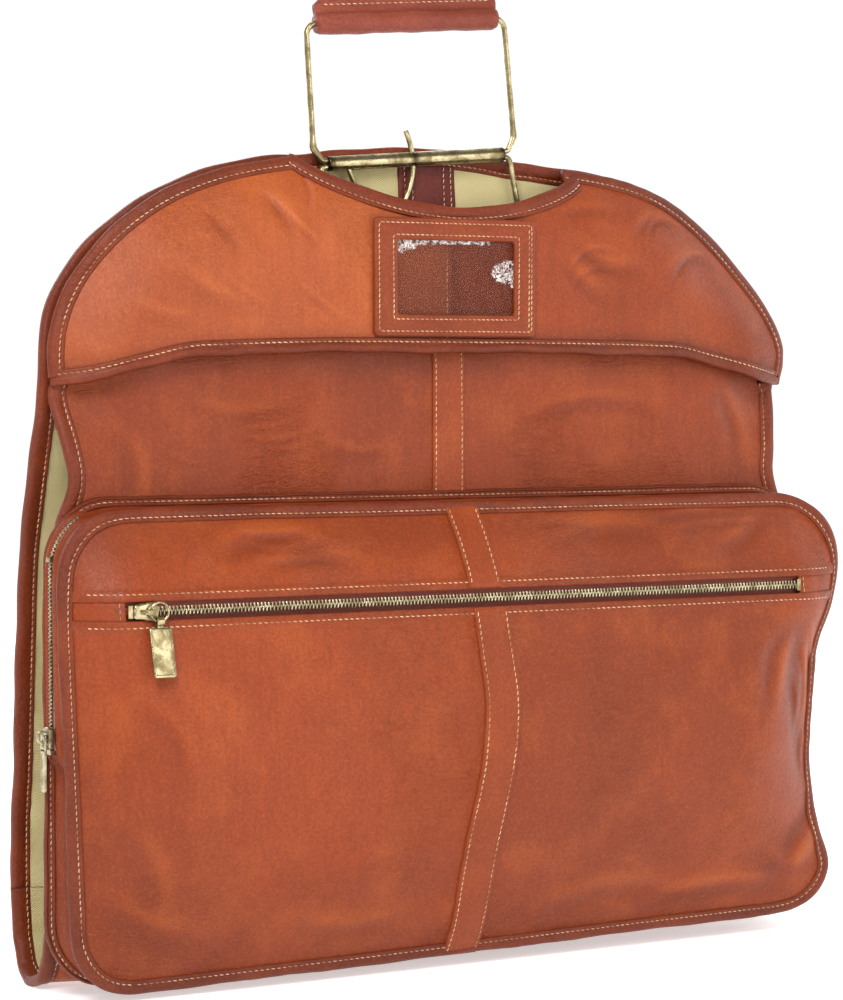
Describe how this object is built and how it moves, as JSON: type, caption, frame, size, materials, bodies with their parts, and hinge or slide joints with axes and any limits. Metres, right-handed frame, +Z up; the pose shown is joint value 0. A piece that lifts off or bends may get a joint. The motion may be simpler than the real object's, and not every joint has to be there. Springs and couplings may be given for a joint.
{
  "type": "garment bag",
  "caption": "Fold-over leather garment bag with a shoulder yoke, a zipped box pocket, a card window and a wire bail handle on a brass hanger bar.",
  "frame": {"origin": "middle of the leather grip, where a hand or a hook holds the bag up", "axes": "+Z up, -Y towards the pocket and card window, +X to the right seen from the front"},
  "size_m": [0.596, 0.1448, 0.6654],
  "materials": {
    "cognac_leather": "smooth aniline leather with fine grain, satin",
    "binding_leather": "turned-edge leather binding, satin, with cream stitching",
    "grip_leather": "smooth rolled leather",
    "twill_lining": "khaki cotton twill",
    "clear_plastic": "thin flexible clear sheet, slightly rippled",
    "zip_tape": "woven zip tape",
    "antique_brass": "antiqued, rubbed bright on edges",
    "nickel_teeth": "antique nickel, polished"
  },
  "bodies": {
    "shell": {"back_panel": "cognac_leather", "back_lining": "twill_lining", "back_edge_binding": "binding_leather", "fold_back": "cognac_leather", "fold_lining_back": "twill_lining", "fold_binding_back": "binding_leather", "inner_strip": "binding_leather", "yoke_left": "cognac_leather", "yoke_right": "cognac_leather", "yoke_lining": "twill_lining", "neck_binding": "binding_leather", "yoke_hem_binding": "binding_leather", "shoulder_seam_band": "binding_leather", "id_frame": "cognac_leather", "id_window": "clear_plastic", "hanger_tab": "binding_leather", "hanger_tab_rivets": "antique_brass", "snap_sockets": "antique_brass"},
    "front_half": {"fold_front": "cognac_leather", "fold_lining_front": "twill_lining", "fold_binding_front": "binding_leather", "front_panel": "cognac_leather", "front_lining": "twill_lining", "front_edge_binding": "binding_leather", "front_tongue": "cognac_leather", "front_strip": "cognac_leather", "snap_studs": "antique_brass", "pocket_gusset": "binding_leather", "pocket_rear_piping": "binding_leather", "pocket_front_binding": "binding_leather", "pocket_upper_panel": "cognac_leather", "pocket_lower_panel": "cognac_leather", "pocket_upper_strip": "cognac_leather", "pocket_lower_strip": "cognac_leather", "zip_tape": "zip_tape", "zip_teeth": "nickel_teeth", "zip_stops": "antique_brass", "zip_end_tabs": "cognac_leather", "side_zip_tape": "zip_tape", "side_zip_teeth": "nickel_teeth", "side_zip_stops": "antique_brass"},
    "front_slider": {"zip_slider": "antique_brass"},
    "front_ring": {"zip_ring": "antique_brass"},
    "front_pull": {"zip_pull": "antique_brass"},
    "left_slider": {"side_slider": "nickel_teeth"},
    "left_pull": {"side_pull": "nickel_teeth"},
    "hanger_frame": {"hanger_bar": "antique_brass", "cradle_wire": "antique_brass", "shackle_pin": "antique_brass"},
    "hanger_shackle": {"shackle": "antique_brass"},
    "bail": {"bail_wire": "antique_brass", "grip_sleeve": "grip_leather"}
  },
  "joints": [
    {"name": "front_fold", "type": "hinge", "parent": "shell", "child": "front_half", "pos_m": [0.02071, 0.02, -0.64398], "axis": [1, 0, 0], "range_deg": [0, 180], "deforming": ["front_tongue", "snap_studs"]},
    {"name": "frame_tilt", "type": "hinge", "parent": "shell", "child": "hanger_frame", "pos_m": [0.02071, 0, -0.15492], "axis": [0, 1, 0], "range_deg": [-2, 12]},
    {"name": "handle_swing", "type": "hinge", "parent": "hanger_frame", "child": "bail", "pos_m": [0.00754, 0, -0.09169], "axis": [0.9966, 0, 0.0819], "range_deg": [-30, 90]},
    {"name": "shackle_open", "type": "hinge", "parent": "hanger_frame", "child": "hanger_shackle", "pos_m": [-0.04611, 0, -0.09821], "axis": [0, 1, 0], "range_deg": [0, 38]},
    {"name": "front_zip", "type": "slide", "parent": "front_half", "child": "front_slider", "axis": [1, 0, 0], "range_m": [0, 0.49]},
    {"name": "ring_flip", "type": "hinge", "parent": "front_slider", "child": "front_ring", "pos_m": [-0.22339, -0.07974, -0.39078], "axis": [0, 0, -1], "range_deg": [0, 20]},
    {"name": "front_pull_lift", "type": "hinge", "parent": "front_ring", "child": "front_pull", "pos_m": [-0.21739, -0.07974, -0.39678], "axis": [-1, 0, 0], "range_deg": [0, 120]},
    {"name": "side_zip", "type": "slide", "parent": "front_half", "child": "left_slider", "axis": [0, 0, 1], "range_m": [0, 0.104]},
    {"name": "side_pull_lift", "type": "hinge", "parent": "left_slider", "child": "left_pull", "pos_m": [-0.27589, -0.028, -0.47228], "axis": [0, 1, 0], "range_deg": [0, 110]}
  ]
}
